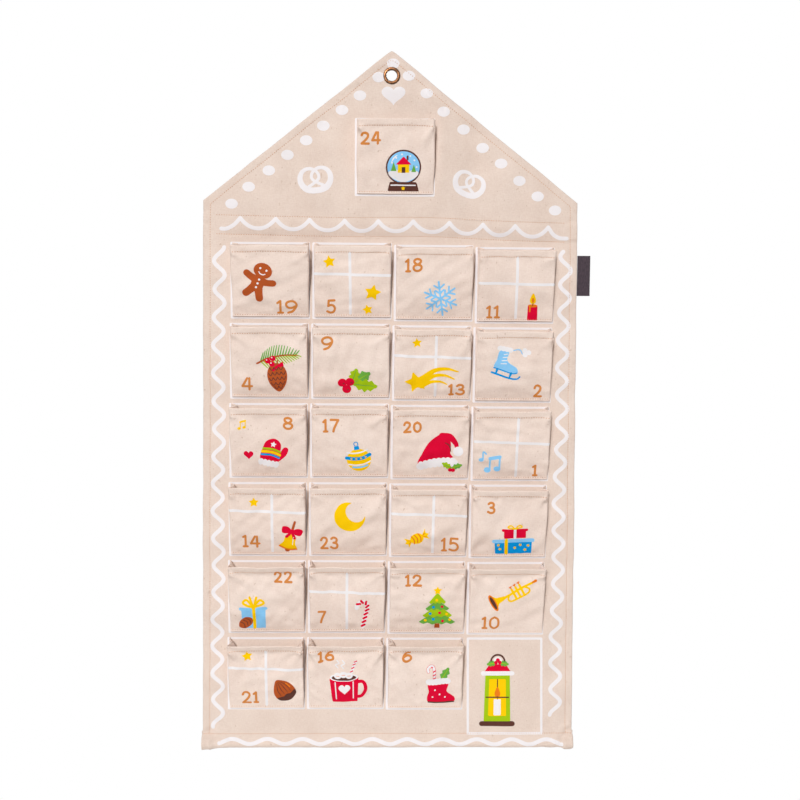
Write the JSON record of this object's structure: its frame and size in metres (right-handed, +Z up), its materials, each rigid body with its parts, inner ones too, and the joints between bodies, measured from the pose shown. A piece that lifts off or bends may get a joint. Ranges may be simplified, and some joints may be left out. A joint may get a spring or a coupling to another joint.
{
  "type": "fabric advent calendar",
  "caption": "House-shaped canvas wall calendar: a hemmed panel with rows of numbered, bellows-sided pockets, a hanging eyelet, two rods in sleeves and a side label.",
  "frame": {"origin": "centre of the hanging eyelet, on the front face of the back panel", "axes": "+Z up to the gable's apex, +Y back to the wall, +X to the right of someone who looks at the pockets"},
  "size_m": [0.4896, 0.0373, 0.8806],
  "materials": {
    "panel_canvas": "matte",
    "pocket_canvas": "matte",
    "wood": "satin",
    "aged_brass": "satin",
    "woven_label": "matte",
    "white_print": "matte",
    "number_print": "matte",
    "picture_print": "matte",
    "sewing_thread": "matte"
  },
  "bodies": {
    "panel": {"back_panel": "panel_canvas", "eaves_sleeve": "panel_canvas", "eyelet_front": "aged_brass", "eyelet_washer": "aged_brass", "pocket_01_gusset": "pocket_canvas", "pocket_02_gusset": "pocket_canvas", "pocket_03_gusset": "pocket_canvas", "pocket_04_gusset": "pocket_canvas", "pocket_05_gusset": "pocket_canvas", "pocket_06_gusset": "pocket_canvas", "pocket_07_gusset": "pocket_canvas", "pocket_08_gusset": "pocket_canvas", "pocket_09_gusset": "pocket_canvas", "pocket_10_gusset": "pocket_canvas", "pocket_11_gusset": "pocket_canvas", "pocket_12_gusset": "pocket_canvas", "pocket_13_gusset": "pocket_canvas", "pocket_14_gusset": "pocket_canvas", "pocket_15_gusset": "pocket_canvas", "pocket_16_gusset": "pocket_canvas", "pocket_17_gusset": "pocket_canvas", "pocket_18_gusset": "pocket_canvas", "pocket_19_gusset": "pocket_canvas", "pocket_20_gusset": "pocket_canvas", "pocket_21_gusset": "pocket_canvas", "pocket_22_gusset": "pocket_canvas", "pocket_23_gusset": "pocket_canvas", "pocket_24_gusset": "pocket_canvas"},
    "pocket_01": {"pocket_01_front": "pocket_canvas"},
    "pocket_02": {"pocket_02_front": "pocket_canvas"},
    "pocket_03": {"pocket_03_front": "pocket_canvas"},
    "pocket_04": {"pocket_04_front": "pocket_canvas"},
    "pocket_05": {"pocket_05_front": "pocket_canvas"},
    "pocket_06": {"pocket_06_front": "pocket_canvas"},
    "pocket_07": {"pocket_07_front": "pocket_canvas"},
    "pocket_08": {"pocket_08_front": "pocket_canvas"},
    "pocket_09": {"pocket_09_front": "pocket_canvas"},
    "pocket_10": {"pocket_10_front": "pocket_canvas"},
    "pocket_11": {"pocket_11_front": "pocket_canvas"},
    "pocket_12": {"pocket_12_front": "pocket_canvas"},
    "pocket_13": {"pocket_13_front": "pocket_canvas"},
    "pocket_14": {"pocket_14_front": "pocket_canvas"},
    "pocket_15": {"pocket_15_front": "pocket_canvas"},
    "pocket_16": {"pocket_16_front": "pocket_canvas"},
    "pocket_17": {"pocket_17_front": "pocket_canvas"},
    "pocket_18": {"pocket_18_front": "pocket_canvas"},
    "pocket_19": {"pocket_19_front": "pocket_canvas"},
    "pocket_20": {"pocket_20_front": "pocket_canvas"},
    "pocket_21": {"pocket_21_front": "pocket_canvas"},
    "pocket_22": {"pocket_22_front": "pocket_canvas"},
    "pocket_23": {"pocket_23_front": "pocket_canvas"},
    "pocket_24": {"pocket_24_front": "pocket_canvas"},
    "upper_rod": {"eaves_rod": "wood"},
    "lower_rod": {"foot_rod": "wood"},
    "label": {"side_label": "woven_label"}
  },
  "joints": [
    {"name": "pocket_01_opens", "type": "hinge", "parent": "panel", "child": "pocket_01", "pos_m": [0.15295, -0.0026, -0.49698], "axis": [1, 0, 0], "range_deg": [-13.5, 7], "deforming": ["pocket_01_gusset"]},
    {"name": "pocket_02_opens", "type": "hinge", "parent": "panel", "child": "pocket_02", "pos_m": [0.15435, -0.0026, -0.39724], "axis": [1, 0, 0], "range_deg": [-13.5, 7], "deforming": ["pocket_02_gusset"]},
    {"name": "pocket_03_opens", "type": "hinge", "parent": "panel", "child": "pocket_03", "pos_m": [0.15155, -0.0026, -0.59672], "axis": [1, 0, 0], "range_deg": [-13.5, 7], "deforming": ["pocket_03_gusset"]},
    {"name": "pocket_04_opens", "type": "hinge", "parent": "panel", "child": "pocket_04", "pos_m": [-0.15015, -0.0026, -0.3936], "axis": [1, 0, 0], "range_deg": [-13.5, 7], "deforming": ["pocket_04_gusset"]},
    {"name": "pocket_05_opens", "type": "hinge", "parent": "panel", "child": "pocket_05", "pos_m": [-0.04725, -0.0026, -0.2933], "axis": [1, 0, 0], "range_deg": [-13.5, 7], "deforming": ["pocket_05_gusset"]},
    {"name": "pocket_06_opens", "type": "hinge", "parent": "panel", "child": "pocket_06", "pos_m": [0.04725, -0.0026, -0.7955], "axis": [1, 0, 0], "range_deg": [-13.5, 7], "deforming": ["pocket_06_gusset"]},
    {"name": "pocket_07_opens", "type": "hinge", "parent": "panel", "child": "pocket_07", "pos_m": [-0.05285, -0.0026, -0.6945], "axis": [1, 0, 0], "range_deg": [-13.5, 7], "deforming": ["pocket_07_gusset"]},
    {"name": "pocket_08_opens", "type": "hinge", "parent": "panel", "child": "pocket_08", "pos_m": [-0.15155, -0.0026, -0.4939], "axis": [1, 0, 0], "range_deg": [-13.5, 7], "deforming": ["pocket_08_gusset"]},
    {"name": "pocket_09_opens", "type": "hinge", "parent": "panel", "child": "pocket_09", "pos_m": [-0.04865, -0.0026, -0.3936], "axis": [1, 0, 0], "range_deg": [-13.5, 7], "deforming": ["pocket_09_gusset"]},
    {"name": "pocket_10_opens", "type": "hinge", "parent": "panel", "child": "pocket_10", "pos_m": [0.15015, -0.0026, -0.69646], "axis": [1, 0, 0], "range_deg": [-13.5, 7], "deforming": ["pocket_10_gusset"]},
    {"name": "pocket_11_opens", "type": "hinge", "parent": "panel", "child": "pocket_11", "pos_m": [0.15575, -0.0026, -0.2975], "axis": [1, 0, 0], "range_deg": [-13.5, 7], "deforming": ["pocket_11_gusset"]},
    {"name": "pocket_12_opens", "type": "hinge", "parent": "panel", "child": "pocket_12", "pos_m": [0.04865, -0.0026, -0.69548], "axis": [1, 0, 0], "range_deg": [-13.5, 7], "deforming": ["pocket_12_gusset"]},
    {"name": "pocket_13_opens", "type": "hinge", "parent": "panel", "child": "pocket_13", "pos_m": [0.05285, -0.0026, -0.39542], "axis": [1, 0, 0], "range_deg": [-13.5, 7], "deforming": ["pocket_13_gusset"]},
    {"name": "pocket_14_opens", "type": "hinge", "parent": "panel", "child": "pocket_14", "pos_m": [-0.15295, -0.0026, -0.5942], "axis": [1, 0, 0], "range_deg": [-13.5, 7], "deforming": ["pocket_14_gusset"]},
    {"name": "pocket_15_opens", "type": "hinge", "parent": "panel", "child": "pocket_15", "pos_m": [0.05005, -0.0026, -0.59546], "axis": [1, 0, 0], "range_deg": [-13.5, 7], "deforming": ["pocket_15_gusset"]},
    {"name": "pocket_16_opens", "type": "hinge", "parent": "panel", "child": "pocket_16", "pos_m": [-0.05425, -0.0026, -0.7948], "axis": [1, 0, 0], "range_deg": [-13.5, 7], "deforming": ["pocket_16_gusset"]},
    {"name": "pocket_17_opens", "type": "hinge", "parent": "panel", "child": "pocket_17", "pos_m": [-0.05005, -0.0026, -0.4939], "axis": [1, 0, 0], "range_deg": [-13.5, 7], "deforming": ["pocket_17_gusset"]},
    {"name": "pocket_18_opens", "type": "hinge", "parent": "panel", "child": "pocket_18", "pos_m": [0.05425, -0.0026, -0.2954], "axis": [1, 0, 0], "range_deg": [-13.5, 7], "deforming": ["pocket_18_gusset"]},
    {"name": "pocket_19_opens", "type": "hinge", "parent": "panel", "child": "pocket_19", "pos_m": [-0.14875, -0.0026, -0.2933], "axis": [1, 0, 0], "range_deg": [-13.5, 7], "deforming": ["pocket_19_gusset"]},
    {"name": "pocket_20_opens", "type": "hinge", "parent": "panel", "child": "pocket_20", "pos_m": [0.05145, -0.0026, -0.49544], "axis": [1, 0, 0], "range_deg": [-13.5, 7], "deforming": ["pocket_20_gusset"]},
    {"name": "pocket_21_opens", "type": "hinge", "parent": "panel", "child": "pocket_21", "pos_m": [-0.15575, -0.0026, -0.7948], "axis": [1, 0, 0], "range_deg": [-13.5, 7], "deforming": ["pocket_21_gusset"]},
    {"name": "pocket_22_opens", "type": "hinge", "parent": "panel", "child": "pocket_22", "pos_m": [-0.15435, -0.0026, -0.6945], "axis": [1, 0, 0], "range_deg": [-13.5, 7], "deforming": ["pocket_22_gusset"]},
    {"name": "pocket_23_opens", "type": "hinge", "parent": "panel", "child": "pocket_23", "pos_m": [-0.05145, -0.0026, -0.5942], "axis": [1, 0, 0], "range_deg": [-13.5, 7], "deforming": ["pocket_23_gusset"]},
    {"name": "pocket_24_opens", "type": "hinge", "parent": "panel", "child": "pocket_24", "pos_m": [0.0052, -0.0026, -0.1411], "axis": [1, 0, 0], "range_deg": [-13.5, 7], "deforming": ["pocket_24_gusset"]},
    {"name": "eaves_rod_slides", "type": "slide", "parent": "panel", "child": "upper_rod", "axis": [0.9999, 0, -0.0161], "range_m": [-0.43, 0.43]},
    {"name": "foot_rod_slides", "type": "slide", "parent": "panel", "child": "lower_rod", "axis": [1, 0, 0], "range_m": [-0.43, 0.43]},
    {"name": "side_label_flaps", "type": "hinge", "parent": "panel", "child": "label", "pos_m": [0.23377, 0.0012, -0.2428], "axis": [0, 0, 1], "range_deg": [-80, 80]}
  ]
}
